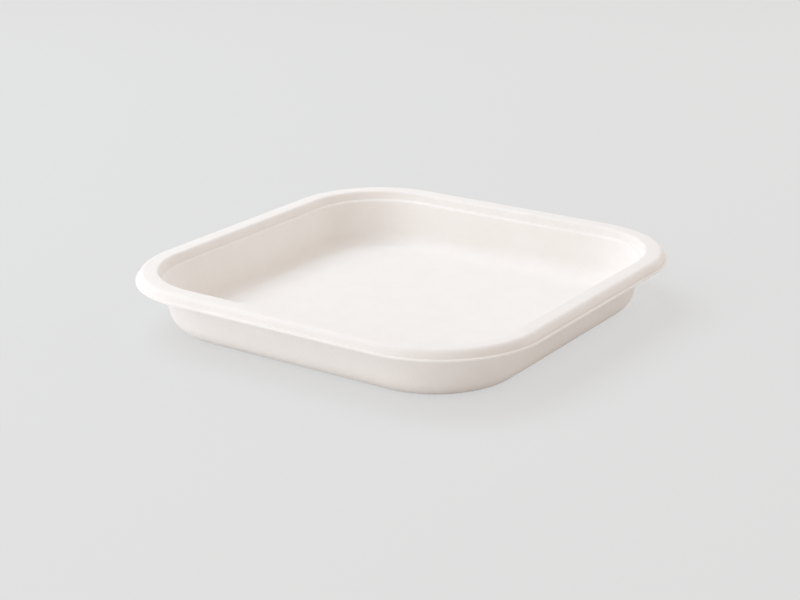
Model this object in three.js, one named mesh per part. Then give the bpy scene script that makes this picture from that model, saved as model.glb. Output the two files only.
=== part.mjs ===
// A square tray plate pressed from one sheet of sugar-cane fibre pulp, for takeaway food.
// Millimetres, +Z up. The origin is the middle of the underside, and X and Y run along the sides.
//
// The plate is one sheet of even thickness. Its section, from the trimmed edge of the lip to the
// middle of the floor, is bent once for each fold of the real sheet and is carried round a square
// with round corners.
import * as THREE from "three";

// Overall sizes
const SIDE = 200; // across the lip, from edge to edge
const CORNER_RADIUS = 48; // of the lip's corners, seen from above
const HEIGHT = 26.8; // from the table to the top of the rim
const SHEET = 0.9; // thickness of the pressed pulp

// Rim, measured inwards from the lip's edge and downwards from the rim's top
const LIP_WIDTH = 1.3; // the flat trimmed flange at the foot of the skirt
const SKIRT_RUN = 0.8; // how far the skirt leans inwards
const SKIRT_DROP = 3.6; // from the rim's top to the lip's upper face
const RIM_WIDTH = 8.4; // the flat top of the rim, between its two bends

// Ledge inside the mouth, which keeps stacked plates from jamming
const MOUTH_LEAN = 0.6; // how far the short wall above the ledge leans inwards
const LEDGE_DEPTH = 4.1; // from the rim's top to the ledge
const LEDGE_WIDTH = 1.7;
const LEDGE_FALL = 0.2; // the ledge sheds crumbs towards the floor

// Main wall
const WALL_DRAFT = 4.5; // degrees that the wall leans outwards, so that the plate leaves its mould
const CORNER_EASE = 5.5; // how much wider the corner's round has grown at the foot of the wall

// Bend radii, on the upper face of the sheet
const LIP_BEND = 0.6;
const RIM_OUTER_BEND = 2.4;
const RIM_INNER_BEND = 1.5;
const LEDGE_INNER_BEND = 0.6;
const LEDGE_EDGE_BEND = 1.1;
const FLOOR_BEND = 8;

// How finely the bends and the corners are faceted
const BEND_STEPS = 4;
const FLOOR_BEND_STEPS = 9;
const CORNER_STEPS = 13;

const PULP_COLOUR = 0xf4f0ec;

// The corners that the sheet's upper face would have if its bends were sharp. x is the distance
// in from the lip's edge and y is the height.
function sharpSection() {
  const lipTop = HEIGHT - SKIRT_DROP;
  const rimOuter = LIP_WIDTH + SKIRT_RUN;
  const rimInner = rimOuter + RIM_WIDTH;
  const ledgeOuter = rimInner + MOUTH_LEAN;
  const ledgeInner = ledgeOuter + LEDGE_WIDTH;
  const ledgeTop = HEIGHT - LEDGE_DEPTH;
  const ledgeEdge = ledgeTop - LEDGE_FALL;
  const floorTop = SHEET;
  const lean = Math.tan(THREE.MathUtils.degToRad(WALL_DRAFT));
  const wallFoot = ledgeInner + (ledgeEdge - floorTop) * lean;
  const corner = (x, y, bend, steps = BEND_STEPS) => ({ at: new THREE.Vector2(x, y), bend, steps });
  return {
    start: new THREE.Vector2(0, lipTop),
    corners: [
      corner(LIP_WIDTH, lipTop, LIP_BEND),
      corner(rimOuter, HEIGHT, RIM_OUTER_BEND),
      corner(rimInner, HEIGHT, RIM_INNER_BEND),
      corner(ledgeOuter, ledgeTop, LEDGE_INNER_BEND),
      corner(ledgeInner, ledgeEdge, LEDGE_EDGE_BEND),
      corner(wallFoot, floorTop, FLOOR_BEND, FLOOR_BEND_STEPS),
    ],
    end: new THREE.Vector2(SIDE / 2, floorTop),
    ledgeEdge,
    floorTop,
  };
}

// The points of one bend: a round arc that meets the straight runs before and after it. Each point
// keeps the way that the sheet runs there, and left is square to the run before the bend.
function bendPoints(before, corner, after) {
  const into = corner.at.clone().sub(before).normalize();
  const out = after.clone().sub(corner.at).normalize();
  const turn = Math.atan2(into.cross(out), into.dot(out));
  const side = Math.sign(turn);
  const reach = corner.bend * Math.tan(Math.abs(turn) / 2);
  const first = corner.at.clone().addScaledVector(into, -reach);
  const left = new THREE.Vector2(-into.y, into.x);
  return Array.from({ length: corner.steps + 1 }, (_, i) => {
    const angle = (Math.abs(turn) * i) / corner.steps;
    const point = first
      .clone()
      .addScaledVector(into, corner.bend * Math.sin(angle))
      .addScaledVector(left, side * corner.bend * (1 - Math.cos(angle)));
    const run = into.clone().rotateAround(new THREE.Vector2(), side * angle);
    return { point, run };
  });
}

// The upper face of the sheet from the lip's edge to where the flat floor begins.
function upperFace(section) {
  const flat = new THREE.Vector2(1, 0);
  const sharp = [section.start, ...section.corners.map((c) => c.at), section.end];
  const bends = section.corners.flatMap((c, i) => bendPoints(sharp[i], c, sharp[i + 2]));
  return [{ point: section.start, run: flat }, ...bends];
}

// How much the corner's round has widened at a height: nothing at the ledge, all of it at the floor.
function easeAt(height, section) {
  const down = (section.ledgeEdge - height) / (section.ledgeEdge - section.floorTop);
  return CORNER_EASE * THREE.MathUtils.clamp(down, 0, 1);
}

// One turn round the plate at a distance in from the lip's edge: a square with round corners.
function planRing(inset, height, ease) {
  const half = SIDE / 2 - inset;
  const radius = CORNER_RADIUS - inset + ease;
  const centre = half - radius;
  const quarter = Math.PI / 2;
  const ring = [];
  for (let side = 0; side < 4; side += 1) {
    const middle = new THREE.Vector2(centre, centre).rotateAround(new THREE.Vector2(), side * quarter);
    for (let i = 0; i <= CORNER_STEPS; i += 1) {
      const angle = quarter * (side + i / CORNER_STEPS);
      const x = middle.x + radius * Math.cos(angle);
      const y = middle.y + radius * Math.sin(angle);
      ring.push(new THREE.Vector3(x, y, height));
    }
  }
  return ring;
}

// The sheet's upper face, and the same face moved through the sheet's thickness, as rings that
// start at the middle of the floor's upper face and end at the middle of its underside.
function sheetRings() {
  const section = sharpSection();
  const face = upperFace(section).map(({ point, run }) => ({
    ease: easeAt(point.y, section),
    upper: point,
    lower: point.clone().add(new THREE.Vector2(run.y, -run.x).multiplyScalar(SHEET)),
  }));
  const upper = face.map((f) => planRing(f.upper.x, f.upper.y, f.ease)).reverse();
  const lower = face.map((f) => planRing(f.lower.x, f.lower.y, f.ease));
  return [...upper, ...lower];
}

// Joins each ring to the next, and closes both ends with a fan at the middle of the floor.
function plateGeometry() {
  const rings = sheetRings();
  const around = rings[0].length;
  const points = [...rings.flat(), new THREE.Vector3(0, 0, SHEET), new THREE.Vector3(0, 0, 0)];
  const upperMiddle = points.length - 2;
  const lowerMiddle = points.length - 1;
  const lastRing = (rings.length - 1) * around;
  const index = [];
  for (let i = 0; i < around; i += 1) {
    const next = (i + 1) % around;
    index.push(upperMiddle, i, next);
    index.push(lowerMiddle, lastRing + next, lastRing + i);
    for (let r = 0; r < rings.length - 1; r += 1) {
      const here = r * around;
      const there = here + around;
      index.push(here + i, there + i, there + next);
      index.push(here + i, there + next, here + next);
    }
  }
  const geometry = new THREE.BufferGeometry().setFromPoints(points);
  geometry.setIndex(index);
  geometry.computeVertexNormals();
  return geometry;
}

const pulp = new THREE.MeshStandardMaterial({ color: PULP_COLOUR, roughness: 0.72, metalness: 0 });
const plate = new THREE.Mesh(plateGeometry(), pulp);
plate.name = "plate";

const part = new THREE.Group();
part.add(plate);

export default part;
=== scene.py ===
"""A square plate of pressed fibre pulp on a pale floor, built as one numpy surface.

Metres, +Z up. The plate stands on z = 0 with its middle on the origin and its sides along X and Y.
"""
import math

import bpy
import numpy as np
from bpy.props import FloatProperty, FloatVectorProperty, IntProperty, PointerProperty
from mathutils import Matrix, Vector


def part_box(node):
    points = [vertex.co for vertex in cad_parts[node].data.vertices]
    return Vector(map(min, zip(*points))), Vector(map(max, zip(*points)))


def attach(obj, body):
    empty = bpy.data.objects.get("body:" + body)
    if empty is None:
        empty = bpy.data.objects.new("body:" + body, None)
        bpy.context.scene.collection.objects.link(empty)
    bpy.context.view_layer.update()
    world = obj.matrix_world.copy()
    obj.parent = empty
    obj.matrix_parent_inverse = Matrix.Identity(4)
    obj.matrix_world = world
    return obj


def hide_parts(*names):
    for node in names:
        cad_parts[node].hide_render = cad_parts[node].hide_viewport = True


bl_info = {
    "name": "Square pulp plate",
    "version": (1, 0, 0),
    "blender": (4, 5, 0),
    "location": "View3D > Sidebar > Plate",
    "description": "Presses a square plate of fibre pulp and sets it on a studio floor",
    "category": "Add Mesh",
}

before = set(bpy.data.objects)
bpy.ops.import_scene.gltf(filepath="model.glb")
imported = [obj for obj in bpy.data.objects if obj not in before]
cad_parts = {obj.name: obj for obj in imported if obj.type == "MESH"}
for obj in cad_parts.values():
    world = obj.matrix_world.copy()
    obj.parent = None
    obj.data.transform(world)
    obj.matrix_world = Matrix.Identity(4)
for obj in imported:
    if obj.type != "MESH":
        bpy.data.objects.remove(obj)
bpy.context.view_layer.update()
PLATE_LOW, PLATE_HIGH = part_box("plate")

MM = 0.001
QUARTER_TURN = math.pi / 2

# The numbers of the faces' finishes
FOOD_SIDE, CUT_EDGE, SCREEN_SIDE = range(3)

# How fine the noise in the pulp is, in cells per metre
CLOUD_SCALE = 75.0
GRAIN_SCALE = 900.0
SKIN_SCALE = 1700.0
DIMPLE_SCALE = 260.0

# Where each soft box hangs: degrees round the plate from the front, degrees above the floor, metres
LEFT_PLACE = (-90, 60, 1.3)
FRONT_PLACE = (-30, 25, 1.2)
BACK_PLACE = (145, 25, 1.2)

# How far from the plate the floor starts to change tone, and where it has changed
NEAR_FLOOR = 0.2
FAR_FLOOR = 1.1


def length(name, description, default):
    """A length in metres that the sidebar shows with its unit."""
    return FloatProperty(
        name=name, description=description, default=default, min=0.0, unit="LENGTH", precision=5
    )


def angle(name, description, degrees):
    """An angle that is given in degrees here and kept in radians."""
    return FloatProperty(
        name=name, description=description, default=math.radians(degrees), subtype="ANGLE"
    )


def colour(name, description, default):
    """A linear colour."""
    return FloatVectorProperty(
        name=name, description=description, default=default, min=0.0, max=1.0, subtype="COLOR"
    )


def power(name, description, watts):
    """The power of a lamp."""
    return FloatProperty(name=name, description=description, default=watts, min=0.0, unit="POWER")


def share(name, description, default):
    """A number from 0 to 1."""
    return FloatProperty(
        name=name, description=description, default=default, min=0.0, max=1.0, subtype="FACTOR"
    )


class PlateSizes(bpy.types.PropertyGroup):
    """Sizes of the plate, on the food side of the sheet."""

    side: length("Side", "Across the lip, from edge to edge", PLATE_HIGH[0] - PLATE_LOW[0])
    height: length("Height", "From the table to the rim's top", PLATE_HIGH[2] - PLATE_LOW[2])
    corner_radius: length("Corner radius", "Of the lip, seen from above", 48 * MM)
    sheet: length("Sheet", "Thickness of the pressed pulp", 0.9 * MM)
    lip_width: length("Lip width", "The flat flange at the skirt's foot", 1.3 * MM)
    skirt_run: length("Skirt run", "How far the skirt leans inwards", 0.8 * MM)
    skirt_drop: length("Skirt drop", "From the rim's top to the lip", 3.6 * MM)
    rim_width: length("Rim width", "The flat top of the rim between its bends", 8.4 * MM)
    mouth_lean: length("Mouth lean", "How far the wall above the ledge leans inwards", 0.6 * MM)
    ledge_depth: length("Ledge depth", "From the rim's top to the ledge", 4.1 * MM)
    ledge_width: length("Ledge width", "The step that spaces stacked plates", 1.7 * MM)
    ledge_fall: length("Ledge fall", "How far the ledge slopes down inwards", 0.2 * MM)
    wall_draft: angle("Wall draft", "How far the wall leans from upright", 4.5)
    corner_ease: length("Corner ease", "How much wider the round is at the wall's foot", 5.5 * MM)
    lip_bend: length("Lip bend", "Radius between lip and skirt", 0.6 * MM)
    rim_outer_bend: length("Rim outer bend", "Radius between skirt and rim", 2.4 * MM)
    rim_inner_bend: length("Rim inner bend", "Radius between rim and mouth", 1.5 * MM)
    ledge_inner_bend: length("Ledge inner bend", "Radius between mouth and ledge", 0.6 * MM)
    ledge_edge_bend: length("Ledge edge bend", "Radius between ledge and wall", 1.1 * MM)
    floor_bend: length("Floor bend", "Radius between wall and floor", 8 * MM)
    wave: length("Waviness", "How far the pressed sheet strays from its true form", 0.05 * MM)


class PlateMesh(bpy.types.PropertyGroup):
    """How finely the sheet is divided."""

    side_steps: IntProperty(name="Side steps", description="Along each straight side", default=40)
    corner_steps: IntProperty(name="Corner steps", description="Round each corner", default=26)
    bend_steps: IntProperty(name="Bend steps", description="Over a right-angled bend", default=12)
    run_step: length("Run step", "Longest step along a straight run of the section", 1.6 * MM)
    floor_rings: IntProperty(
        name="Floor rings", description="From the bend to the middle", default=22
    )


class PulpLook(bpy.types.PropertyGroup):
    """Colours and surface of the pressed pulp."""

    pale: colour("Pale pulp", "Where the sheet is densest", (0.925, 0.905, 0.88))
    deep: colour("Deep pulp", "Where the sheet is loosest", (0.91, 0.887, 0.857))
    fleck: colour("Fleck", "Single fibres near the surface", (0.86, 0.815, 0.755))
    food_roughness: share("Food side roughness", "Of the face that the hot mould pressed", 0.55)
    edge_roughness: share("Cut edge roughness", "Of the trimmed edge of the lip", 0.85)
    screen_roughness: share("Underside roughness", "Of the face that lay on the screen", 0.7)
    gloss: share("Gloss", "Of the pressed skin", 0.18)
    spread: share("Spread", "How evenly the matt surface throws light back", 0.3)
    glow: share("Glow", "Share of the light that scatters inside the sheet", 0.12)
    relief: length("Relief", "Height of the fibre grain", 0.012 * MM)
    glow_depth: length("Glow depth", "How far light scatters inside the sheet", 0.6 * MM)


class StudioSet(bpy.types.PropertyGroup):
    """Floor, light and background."""

    floor_size: length("Floor size", "Side of the square floor", 14.0)
    floor_tone: colour("Floor tone", "Of the floor near the plate", (0.735, 0.74, 0.73))
    far_tone: colour("Far floor tone", "Where the boxes reach less", (0.845, 0.85, 0.845))
    paper_tone: colour("Paper tone", "Of the floor as it lights the plate", (0.93, 0.93, 0.93))
    backdrop_tone: colour("Backdrop tone", "Seen past the floor", (0.753, 0.753, 0.753))
    shadow_share: share("Shadow share", "How much of the floor's shadow the camera sees", 0.25)
    sky_tone: colour("Sky tone", "Of the even light from all round", (1.0, 0.867, 0.778))
    sky_level: FloatProperty(name="Sky level", description="Of the even light", default=0.55)
    left_tone: colour("Left tone", "Of the high box on the left", (0.729, 0.864, 1.0))
    left_power: power("Left power", "Of the high box on the left", 9.2)
    front_tone: colour("Front tone", "Of the low box at the front", (0.886, 0.937, 1.0))
    front_power: power("Front power", "Of the low box at the front", 5.4)
    back_tone: colour("Back tone", "Of the low box behind on the right", (0.917, 0.958, 1.0))
    back_power: power("Back power", "Of the low box behind on the right", 3.1)
    box_width: length("Box width", "Side of each soft box", 0.95)


class CameraPlace(bpy.types.PropertyGroup):
    """Where the photograph was taken from."""

    turn: angle("Turn", "Round the plate, from the front", 34.374)
    rise: angle("Rise", "Above the floor", 19.418)
    tilt: angle("Tilt", "About the line of sight", 0.258)
    distance: length("Distance", "From the aim to the lens", 0.78275)
    aim_height: length("Aim height", "Above the floor", 8.8 * MM)
    aim_right: FloatProperty(
        name="Aim right", description="Across the picture", default=-2.605 * MM, unit="LENGTH"
    )
    aim_up: FloatProperty(
        name="Aim up", description="Up the picture", default=-2.671 * MM, unit="LENGTH"
    )
    lens: FloatProperty(name="Lens", description="Focal length in millimetres", default=77.13)


def bent_section(sizes, mesh):
    """The food side of the sheet in section, as points and as the way that the sheet runs there.

    A chain of straight runs is drawn through the corners that the sheet would have if its bends
    were sharp. Each corner gives way to a round arc of radius r that meets both runs: it starts
    r tan(half the turn) before the corner, and its point at angle a lies r sin(a) on along the
    first run and r (1 - cos(a)) to the side that the sheet turns to. The first column is the
    distance in from the lip's edge and the second the height.
    """
    s = sizes
    lip_top = s.height - s.skirt_drop
    rim_outer = s.lip_width + s.skirt_run
    rim_inner = rim_outer + s.rim_width
    ledge_outer = rim_inner + s.mouth_lean
    ledge_inner = ledge_outer + s.ledge_width
    ledge_top = s.height - s.ledge_depth
    ledge_edge = ledge_top - s.ledge_fall
    wall_foot = ledge_inner + (ledge_edge - s.sheet) * math.tan(s.wall_draft)
    corners = np.array([
        (s.sheet / 2, lip_top),
        (s.lip_width, lip_top),
        (rim_outer, s.height),
        (rim_inner, s.height),
        (ledge_outer, ledge_top),
        (ledge_inner, ledge_edge),
        (wall_foot, s.sheet),
        (s.side / 2, s.sheet),
    ])
    radii = (s.lip_bend, s.rim_outer_bend, s.rim_inner_bend, s.ledge_inner_bend,
             s.ledge_edge_bend, s.floor_bend)
    ways = np.diff(corners, axis=0)
    ways /= np.linalg.norm(ways, axis=1)[:, None]
    points = []
    runs = []
    start = corners[0]
    for into, out, corner, radius in zip(ways, ways[1:], corners[1:], radii):
        turn = math.atan2(into[0] * out[1] - into[1] * out[0], into @ out)
        first = corner - into * radius * math.tan(abs(turn) / 2)
        steps = max(1, math.ceil(np.linalg.norm(first - start) / mesh.run_step))
        way_along = np.arange(steps)[:, None] / steps
        points.append(start + (first - start) * way_along)
        runs.append(np.repeat(into[None], steps, axis=0))
        count = max(4, round(mesh.bend_steps * abs(turn) / QUARTER_TURN))
        angles = np.linspace(0, abs(turn), count + 1)[:, None]
        left = np.array([-into[1], into[0]]) * math.copysign(1, turn)
        arc = first + radius * (into * np.sin(angles) + left * (1 - np.cos(angles)))
        arc_runs = into * np.cos(angles) + left * np.sin(angles)
        points.append(arc[:-1])
        runs.append(arc_runs[:-1])
        start = arc[-1]
    points.append(arc[-1:])
    runs.append(arc_runs[-1:])
    return np.concatenate(points), np.concatenate(runs)


def trimmed_edge(sizes, steps=8):
    """The cut edge of the lip, from the food side down to the underside.

    A half superellipse of the fourth power: at angle a from straight up, its height is the root of
    cos(a) and its reach outwards the root of sin(a), both times half the sheet, so the edge is
    upright with two small rounds.
    """
    half = sizes.sheet / 2
    angles = np.linspace(0, math.pi, steps + 1)[1:-1]
    up = np.sign(np.cos(angles)) * np.sqrt(np.abs(np.cos(angles)))
    middle = sizes.height - sizes.skirt_drop - half
    return np.column_stack([half * (1 - np.sqrt(np.sin(angles))), middle + half * up])


def plan_stations(mesh):
    """Directions round the plate, as two arrays A and B.

    Any ring round the plate, with c the distance from its middle to the centre of a corner's round
    and r the radius of that round, is c A + r B. On a straight side A is (1, s) with s from -1 to
    1 and B is (1, 0); round a corner A is (1, 1) and B is (cos a, sin a). Both are then turned by
    each quarter turn.
    """
    along = np.linspace(-1, 1, mesh.side_steps + 1)[:-1]
    bend = np.linspace(0, QUARTER_TURN, mesh.corner_steps + 1)[:-1]
    centre = np.concatenate([
        np.column_stack([np.ones_like(along), along]),
        np.ones((len(bend), 2)),
    ])
    radius = np.concatenate([
        np.column_stack([np.ones_like(along), np.zeros_like(along)]),
        np.column_stack([np.cos(bend), np.sin(bend)]),
    ])
    turns = np.arange(4) * QUARTER_TURN
    spin = np.array([[np.cos(turns), -np.sin(turns)], [np.sin(turns), np.cos(turns)]])
    return tuple(np.einsum("xyk,ny->knx", spin, a).reshape(-1, 2) for a in (centre, radius))


def rings_round(section, ease, sizes, stations):
    """Carries section points round the plate: one ring of points for each, as c A + r B."""
    inset, height = section.T
    half = sizes.side / 2 - inset
    radius = sizes.corner_radius - inset + ease
    centre, out = stations
    flat = (half - radius)[:, None, None] * centre + radius[:, None, None] * out
    tall = np.broadcast_to(height[:, None, None], flat.shape[:2] + (1,))
    return np.concatenate([flat, tall], axis=2)


def sheet_waves(points, reach):
    """Slow unevenness of the pressed sheet, the same on both of its faces.

    The height gains reach times a sum of three slanting sine waves, raised so that it is never
    negative, and the plan shrinks towards the middle by the same rule with other waves.
    """
    def waves(pitches, headings, offset):
        total = np.zeros(points.shape[:-1])
        for pitch, heading in zip(pitches, headings):
            way = np.array([math.cos(heading), math.sin(heading), 0.6])
            total += np.sin(points @ way * (2 * math.pi / pitch) + offset * (1 + heading))
        return 0.5 + total / (2 * len(pitches))

    lift = waves((61 * MM, 38 * MM, 27 * MM), (0.4, 1.9, 2.8), 1.3)
    draw = waves((53 * MM, 34 * MM, 23 * MM), (1.1, 2.3, 3.0), 4.1)
    flat = points[..., :2]
    distance = np.linalg.norm(flat, axis=-1, keepdims=True)
    inwards = -flat / np.maximum(distance, MM)
    return points + reach * np.concatenate([inwards * draw[..., None], lift[..., None]], axis=-1)


def sheet_surface(sizes, mesh):
    """Points and faces of the whole sheet, closed at the middle of its floor on both faces.

    The rings run from the middle of the food side out over the rim to the cut edge of the lip, and
    back below to the middle of the underside. The underside is the food side moved by the sheet's
    thickness square to the way that the section runs.
    """
    upper, run = bent_section(sizes, mesh)
    lower = upper + sizes.sheet * np.column_stack([run[:, 1], -run[:, 0]])
    ledge_edge = sizes.height - sizes.ledge_depth - sizes.ledge_fall
    down = (ledge_edge - upper[:, 1]) / (ledge_edge - sizes.sheet)
    ease = sizes.corner_ease * np.clip(down, 0, 1)
    stations = plan_stations(mesh)
    top = rings_round(upper, ease, sizes, stations)
    bottom = rings_round(lower, ease, sizes, stations)
    cut = rings_round(trimmed_edge(sizes), 0.0, sizes, stations)
    shrink = (np.arange(1, mesh.floor_rings) / mesh.floor_rings)[:, None, None]
    inner_top = top[-1] * [1, 1, 0] * shrink + top[-1] * [0, 0, 1]
    inner_bottom = bottom[-1] * [1, 1, 0] * shrink + bottom[-1] * [0, 0, 1]
    rings = np.concatenate([inner_top, top[::-1], cut, bottom, inner_bottom[::-1]])
    middles = np.array([[0, 0, top[-1, 0, 2]], [0, 0, bottom[-1, 0, 2]]])
    points = sheet_waves(np.concatenate([rings.reshape(-1, 3), middles]), sizes.wave)

    count, around = rings.shape[:2]
    number = np.arange(count * around).reshape(count, around)
    here, there = number[:-1], number[1:]
    quads = np.stack([here, there, np.roll(there, -1, 1), np.roll(here, -1, 1)], axis=-1)
    first, last = number[0], number[-1]
    pole = np.full(around, count * around)
    fans = np.concatenate([
        np.column_stack([pole, first, np.roll(first, -1)]),
        np.column_stack([pole + 1, np.roll(last, -1), last]),
    ])
    band = np.full(count - 1, FOOD_SIDE)
    food_rings = len(inner_top) + len(top)
    band[food_rings - 1:] = CUT_EDGE
    band[food_rings + len(cut):] = SCREEN_SIDE
    finish = np.concatenate([
        np.repeat(band, around),
        np.full(around, FOOD_SIDE),
        np.full(around, SCREEN_SIDE),
    ])
    return points, quads.reshape(-1, 4), fans, finish


def mesh_from_arrays(name, points, quads, triangles, finish):
    """Fills a mesh from whole arrays, with one material number for each face."""
    mesh = bpy.data.meshes.new(name)
    corners = np.concatenate([quads.ravel(), triangles.ravel()])
    starts = np.concatenate([
        np.arange(len(quads)) * 4,
        quads.size + np.arange(len(triangles)) * 3,
    ])
    mesh.vertices.add(len(points))
    mesh.loops.add(len(corners))
    mesh.polygons.add(len(starts))
    mesh.vertices.foreach_set("co", points.astype(np.float32).ravel())
    mesh.loops.foreach_set("vertex_index", corners.astype(np.int32))
    mesh.polygons.foreach_set("loop_start", starts.astype(np.int32))
    mesh.polygons.foreach_set("material_index", finish.astype(np.int32))
    mesh.polygons.foreach_set("use_smooth", np.ones(len(starts), dtype=bool))
    mesh.update(calc_edges=True)
    if mesh.validate(verbose=True):
        raise RuntimeError(f"{name} had faces that Blender had to repair")
    return mesh


def add_socket(group, name, kind, into=True, default=None):
    """Adds a named socket to a node group's interface."""
    socket = group.interface.new_socket(
        name=name, in_out="INPUT" if into else "OUTPUT", socket_type=f"NodeSocket{kind}"
    )
    if default is not None:
        socket.default_value = default
    return socket


def new_node(tree, kind, **values):
    """Adds a node. Keys that name an input set its value, and the rest are the node's settings."""
    node = tree.nodes.new(f"ShaderNode{kind}")
    for key, value in values.items():
        if hasattr(node, key):
            setattr(node, key, value)
        else:
            node.inputs[key].default_value = value
    return node


def noise(tree, coordinates, scale, detail, roughness=0.5):
    """A noise texture on the coordinates."""
    node = new_node(tree, "TexNoise", Scale=scale, Detail=detail, Roughness=roughness)
    tree.links.new(coordinates, node.inputs["Vector"])
    return node.outputs["Fac"]


def ramp(tree, value, low, high, to_low=0.0, to_high=1.0):
    """Eases a value from one range to another."""
    node = new_node(tree, "MapRange", interpolation_type="SMOOTHSTEP")
    for index, number in enumerate((low, high, to_low, to_high), start=1):
        node.inputs[index].default_value = number
    tree.links.new(value, node.inputs["Value"])
    return node.outputs["Result"]


def maths(tree, operation, first, second):
    """A maths node on two sockets, or on a socket and a number."""
    node = new_node(tree, "Math", operation=operation)
    for index, value in enumerate((first, second)):
        if isinstance(value, bpy.types.NodeSocket):
            tree.links.new(value, node.inputs[index])
        else:
            node.inputs[index].default_value = value
    return node.outputs[0]


def blend_of(tree, factor, first, second):
    """A colour mix of two sockets or colours."""
    node = new_node(tree, "Mix", data_type="RGBA")
    tree.links.new(factor, node.inputs["Factor"])
    for name, value in (("A", first), ("B", second)):
        socket = next(i for i in node.inputs if i.name == name and i.type == "RGBA")
        if isinstance(value, bpy.types.NodeSocket):
            tree.links.new(value, socket)
        else:
            socket.default_value = value
    return next(o for o in node.outputs if o.type == "RGBA")


def fibre_group():
    """Short fibres that lie flat in the sheet, as a mask.

    Noise is stretched along three headings in turn, so that its crests are about 2 mm long and a
    tenth of a millimetre wide, and only the highest crests are kept.
    """
    group = bpy.data.node_groups.new("Pulp fibres", "ShaderNodeTree")
    add_socket(group, "Coordinates", "Vector")
    add_socket(group, "Fibres", "Float", into=False)
    start = group.nodes.new("NodeGroupInput")
    end = group.nodes.new("NodeGroupOutput")
    masks = []
    for heading in (0.35, 1.45, 2.55):
        turned = new_node(group, "Mapping", Rotation=(0.3, 0.5, heading), Scale=(450, 4200, 2600))
        group.links.new(start.outputs["Coordinates"], turned.inputs["Vector"])
        masks.append(ramp(group, noise(group, turned.outputs["Vector"], 1.0, 1.0), 0.66, 0.78))
    mask = maths(group, "MAXIMUM", maths(group, "MAXIMUM", masks[0], masks[1]), masks[2])
    group.links.new(mask, end.inputs["Fibres"])
    return group


def mottle_group(fibres):
    """Cloudy tone of pressed pulp, with single fibres, as a colour and a roughness."""
    group = bpy.data.node_groups.new("Pulp mottle", "ShaderNodeTree")
    add_socket(group, "Coordinates", "Vector")
    add_socket(group, "Pale", "Color", default=(1, 1, 1, 1))
    add_socket(group, "Deep", "Color", default=(0.8, 0.8, 0.8, 1))
    add_socket(group, "Fleck", "Color", default=(0.7, 0.7, 0.7, 1))
    add_socket(group, "Fleck share", "Float", default=0.2)
    add_socket(group, "Roughness", "Float", default=0.6)
    add_socket(group, "Color", "Color", into=False)
    add_socket(group, "Roughness", "Float", into=False)
    start = group.nodes.new("NodeGroupInput")
    end = group.nodes.new("NodeGroupOutput")
    coordinates = start.outputs["Coordinates"]
    cloud = noise(group, coordinates, CLOUD_SCALE, 3.0, 0.6)
    grain = noise(group, coordinates, GRAIN_SCALE, 2.0)
    clouds = maths(group, "MULTIPLY", cloud, 0.65)
    grains = maths(group, "MULTIPLY", grain, 0.35)
    depth = ramp(group, maths(group, "ADD", clouds, grains), 0.36, 0.64)
    tone = blend_of(group, depth, start.outputs["Pale"], start.outputs["Deep"])
    hairs = new_node(group, "Group", node_tree=fibres)
    group.links.new(coordinates, hairs.inputs["Coordinates"])
    flecks = maths(group, "MULTIPLY", hairs.outputs["Fibres"], start.outputs["Fleck share"])
    group.links.new(blend_of(group, flecks, tone, start.outputs["Fleck"]), end.inputs["Color"])
    change = ramp(group, grain, 0.3, 0.7, -0.06, 0.06)
    uneven = maths(group, "ADD", start.outputs["Roughness"], change)
    group.links.new(uneven, end.inputs["Roughness"])
    return group


def relief_group(fibres):
    """Height of the sheet's skin: fine grain, soft dimples and proud fibres."""
    group = bpy.data.node_groups.new("Pulp relief", "ShaderNodeTree")
    add_socket(group, "Coordinates", "Vector")
    add_socket(group, "Fibre share", "Float", default=0.3)
    add_socket(group, "Height", "Float", into=False)
    start = group.nodes.new("NodeGroupInput")
    end = group.nodes.new("NodeGroupOutput")
    coordinates = start.outputs["Coordinates"]
    grain = noise(group, coordinates, SKIN_SCALE, 3.0, 0.55)
    dimples = noise(group, coordinates, DIMPLE_SCALE, 2.0)
    hairs = new_node(group, "Group", node_tree=fibres)
    group.links.new(coordinates, hairs.inputs["Coordinates"])
    proud = maths(group, "MULTIPLY", hairs.outputs["Fibres"], start.outputs["Fibre share"])
    grains = maths(group, "MULTIPLY", grain, 0.45)
    hollows = maths(group, "MULTIPLY", dimples, 0.9)
    skin = maths(group, "ADD", grains, hollows)
    group.links.new(maths(group, "ADD", skin, proud), end.inputs["Height"])
    return group


def pulp_material(name, look, groups, roughness, relief, fleck_share):
    """One face of the pressed pulp. The groups vary it, and the shader holds what is even."""
    material = bpy.data.materials.new(name)
    material.use_nodes = True
    tree = material.node_tree
    shader = tree.nodes["Principled BSDF"]
    shader.inputs["Specular IOR Level"].default_value = look.gloss
    shader.inputs["Diffuse Roughness"].default_value = look.spread
    shader.inputs["Subsurface Weight"].default_value = look.glow
    shader.inputs["Subsurface Radius"].default_value = (1.0, 1.0, 1.0)
    shader.inputs["Subsurface Scale"].default_value = look.glow_depth
    place = tree.nodes.new("ShaderNodeTexCoord").outputs["Object"]
    mottle = new_node(tree, "Group", node_tree=groups["mottle"])
    tree.links.new(place, mottle.inputs["Coordinates"])
    for socket, tone in (("Pale", look.pale), ("Deep", look.deep), ("Fleck", look.fleck)):
        mottle.inputs[socket].default_value = (*tone, 1.0)
    mottle.inputs["Fleck share"].default_value = fleck_share
    mottle.inputs["Roughness"].default_value = roughness
    tree.links.new(mottle.outputs["Color"], shader.inputs["Base Color"])
    tree.links.new(mottle.outputs["Roughness"], shader.inputs["Roughness"])
    skin = new_node(tree, "Group", node_tree=groups["relief"])
    tree.links.new(place, skin.inputs["Coordinates"])
    bump = new_node(tree, "Bump", Strength=1.0, Distance=relief)
    tree.links.new(skin.outputs["Height"], bump.inputs["Height"])
    tree.links.new(bump.outputs["Normal"], shader.inputs["Normal"])
    return material


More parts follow.
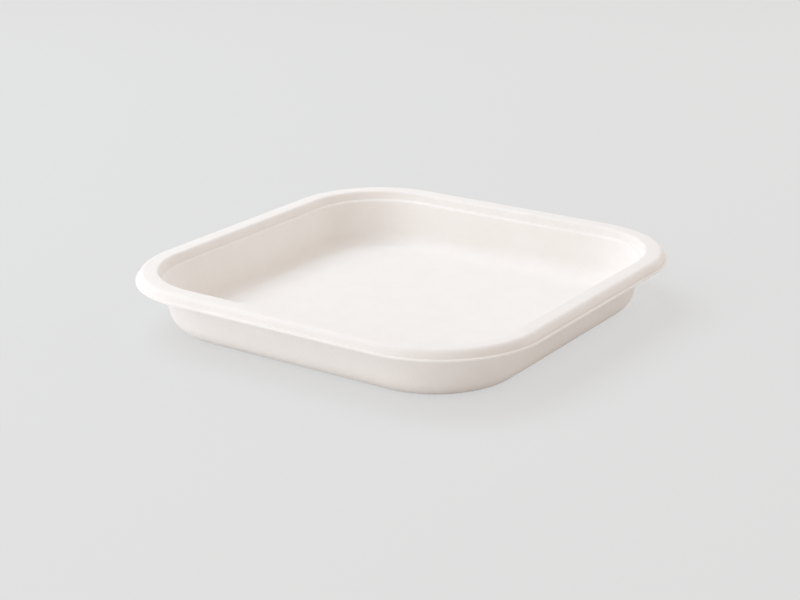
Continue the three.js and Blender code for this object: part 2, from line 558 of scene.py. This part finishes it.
def pulp_materials(look):
    """The food side, the cut edge and the underside, in the order of the face numbers.

    Each row gives a roughness, how high the grain stands against the food side's, and how much of
    the single fibres shows.
    """
    fibres = fibre_group()
    groups = {"mottle": mottle_group(fibres), "relief": relief_group(fibres)}
    finishes = {
        "pulp_food_side": (look.food_roughness, 1.0, 0.16),
        "pulp_cut_edge": (look.edge_roughness, 2.0, 0.15),
        "pulp_underside": (look.screen_roughness, 1.4, 0.22),
    }
    return [
        pulp_material(name, look, groups, roughness, height * look.relief, flecks)
        for name, (roughness, height, flecks) in finishes.items()
    ]


def towards(turn, rise):
    """The direction from the plate at an angle round it from the front and one above the floor."""
    return Vector((
        math.sin(turn) * math.cos(rise), -math.cos(turn) * math.cos(rise), math.sin(rise)
    ))


def floor_material(stage):
    """A matt floor, whose shadow the camera sees softened towards the backdrop's tone.

    Its tone grows paler with the distance from the plate: painted light that makes up for the soft
    boxes' light falling off, which keeps the background even.
    """
    material = bpy.data.materials.new("studio_floor")
    material.use_nodes = True
    tree = material.node_tree
    matt = tree.nodes["Principled BSDF"]
    rays = tree.nodes.new("ShaderNodeLightPath")
    seen = rays.outputs["Is Camera Ray"]
    place = tree.nodes.new("ShaderNodeTexCoord").outputs["Object"]
    reach = new_node(tree, "VectorMath", operation="LENGTH")
    tree.links.new(place, reach.inputs[0])
    # Painted light: the floor's tone grows paler away from the plate, making up for the boxes'
    # light falling off
    away = ramp(tree, reach.outputs["Value"], NEAR_FLOOR, FAR_FLOOR)
    shown = blend_of(tree, away, (*stage.floor_tone, 1.0), (*stage.far_tone, 1.0))
    tone = blend_of(tree, seen, (*stage.paper_tone, 1.0), shown)
    tree.links.new(tone, matt.inputs["Base Color"])
    matt.inputs["Roughness"].default_value = 1.0
    matt.inputs["Specular IOR Level"].default_value = 0.0
    plain = new_node(tree, "Emission", Color=(*stage.backdrop_tone, 1.0), Strength=1.0)
    plain_share = maths(tree, "MULTIPLY", seen, 1.0 - stage.shadow_share)
    mix = tree.nodes.new("ShaderNodeMixShader")
    tree.links.new(plain_share, mix.inputs["Fac"])
    tree.links.new(matt.outputs["BSDF"], mix.inputs[1])
    tree.links.new(plain.outputs["Emission"], mix.inputs[2])
    tree.links.new(mix.outputs["Shader"], tree.nodes["Material Output"].inputs["Surface"])
    return material


def studio_world(stage):
    """Even light from all round, with the backdrop's tone where the camera looks past the floor."""
    world = bpy.data.worlds.new("studio_sky")
    world.use_nodes = True
    tree = world.node_tree
    sky = tree.nodes["Background"]
    sky.inputs["Color"].default_value = (*stage.sky_tone, 1.0)
    sky.inputs["Strength"].default_value = stage.sky_level
    plain = new_node(tree, "Background", Color=(*stage.backdrop_tone, 1.0), Strength=1.0)
    rays = tree.nodes.new("ShaderNodeLightPath")
    mix = tree.nodes.new("ShaderNodeMixShader")
    tree.links.new(rays.outputs["Is Camera Ray"], mix.inputs["Fac"])
    tree.links.new(sky.outputs["Background"], mix.inputs[1])
    tree.links.new(plain.outputs["Background"], mix.inputs[2])
    tree.links.new(mix.outputs["Shader"], tree.nodes["World Output"].inputs["Surface"])
    return world


def hang_box(name, tone, watts, width, place):
    """A soft box that faces the plate. place holds its turn, its rise and its distance."""
    turn, rise, distance = place
    lamp = bpy.data.lights.new(name, "AREA")
    lamp.color = tone
    lamp.energy = watts
    lamp.size = width
    holder = bpy.data.objects.new(name, lamp)
    way = towards(math.radians(turn), math.radians(rise))
    holder.location = way * distance
    holder.rotation_euler = way.to_track_quat("Z", "Y").to_euler()
    holder.visible_camera = False
    bpy.context.collection.objects.link(holder)


class PressPlate(bpy.types.Operator):
    """Press the plate's sheet of pulp and give its faces their finishes"""

    bl_idname = "square_plate.press"
    bl_label = "Press the plate"

    def execute(self, context):
        scene = context.scene
        surface = sheet_surface(scene.plate_sizes, scene.plate_mesh)
        mesh = mesh_from_arrays("pressed_plate", *surface)
        for material in pulp_materials(scene.pulp_look):
            mesh.materials.append(material)
        plate = bpy.data.objects.new("pressed_plate", mesh)
        context.collection.objects.link(plate)
        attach(plate, "root")
        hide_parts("plate")
        return {"FINISHED"}


class SetStage(bpy.types.Operator):
    """Lay the floor and set the light and the backdrop"""

    bl_idname = "square_plate.set_stage"
    bl_label = "Set the stage"

    def execute(self, context):
        stage = context.scene.studio_set
        half = stage.floor_size / 2
        mesh = bpy.data.meshes.new("studio_floor")
        corners = [(-half, -half, 0), (half, -half, 0), (half, half, 0), (-half, half, 0)]
        mesh.from_pydata(corners, [], [(0, 1, 2, 3)])
        mesh.materials.append(floor_material(stage))
        floor = bpy.data.objects.new("studio_floor", mesh)
        context.collection.objects.link(floor)
        context.scene.world = studio_world(stage)
        width = stage.box_width
        hang_box("left_box", stage.left_tone, stage.left_power, width, LEFT_PLACE)
        hang_box("front_box", stage.front_tone, stage.front_power, width, FRONT_PLACE)
        hang_box("back_box", stage.back_tone, stage.back_power, width, BACK_PLACE)
        context.scene.view_settings.view_transform = "Standard"
        return {"FINISHED"}


class PlaceCamera(bpy.types.Operator):
    """Put the camera where the photograph was taken from"""

    bl_idname = "square_plate.place_camera"
    bl_label = "Place the camera"

    def execute(self, context):
        place = context.scene.camera_place
        back = towards(place.turn, place.rise)
        right = Vector((math.cos(place.turn), math.sin(place.turn), 0))
        up = back.cross(right)
        aim = Vector((0, 0, place.aim_height)) + right * place.aim_right + up * place.aim_up
        lean = math.sin(place.tilt)
        level = math.cos(place.tilt)
        axes = Matrix((right * level - up * lean, right * lean + up * level, back))
        camera = bpy.data.cameras.new("photo_camera")
        camera.lens = place.lens
        camera.sensor_width = 36
        camera.sensor_fit = "HORIZONTAL"
        camera.clip_start = 10 * MM
        holder = bpy.data.objects.new("photo_camera", camera)
        stand = Matrix.Translation(aim + back * place.distance)
        holder.matrix_world = stand @ axes.transposed().to_4x4()
        context.collection.objects.link(holder)
        context.scene.camera = holder
        return {"FINISHED"}


class PlatePanel(bpy.types.Panel):
    """The plate's sizes, its look, the stage and the camera"""

    bl_idname = "VIEW3D_PT_square_plate"
    bl_label = "Square plate"
    bl_space_type = "VIEW_3D"
    bl_region_type = "UI"
    bl_category = "Plate"

    def draw(self, context):
        for name, operators in PANEL_BOXES:
            box = self.layout.box()
            group = getattr(context.scene, name)
            for key in group.__annotations__:
                box.prop(group, key)
            for operator in operators:
                box.operator(operator.bl_idname)


PANEL_BOXES = (
    ("plate_sizes", ()),
    ("plate_mesh", ()),
    ("pulp_look", (PressPlate,)),
    ("studio_set", (SetStage,)),
    ("camera_place", (PlaceCamera,)),
)
GROUPS = {
    "plate_sizes": PlateSizes,
    "plate_mesh": PlateMesh,
    "pulp_look": PulpLook,
    "studio_set": StudioSet,
    "camera_place": CameraPlace,
}
CLASSES = (*GROUPS.values(), PressPlate, SetStage, PlaceCamera, PlatePanel)


def register():
    for item in CLASSES:
        bpy.utils.register_class(item)
    for name, group in GROUPS.items():
        setattr(bpy.types.Scene, name, PointerProperty(type=group))


def unregister():
    for name in GROUPS:
        delattr(bpy.types.Scene, name)
    for item in reversed(CLASSES):
        bpy.utils.unregister_class(item)


def main():
    """Builds the scene: registers the classes, then places the camera, presses the plate and sets
    the stage.
    """
    register()
    for step in (bpy.ops.square_plate.place_camera, bpy.ops.square_plate.press,
                 bpy.ops.square_plate.set_stage):
        step()


if __name__ == "__main__":
    main()
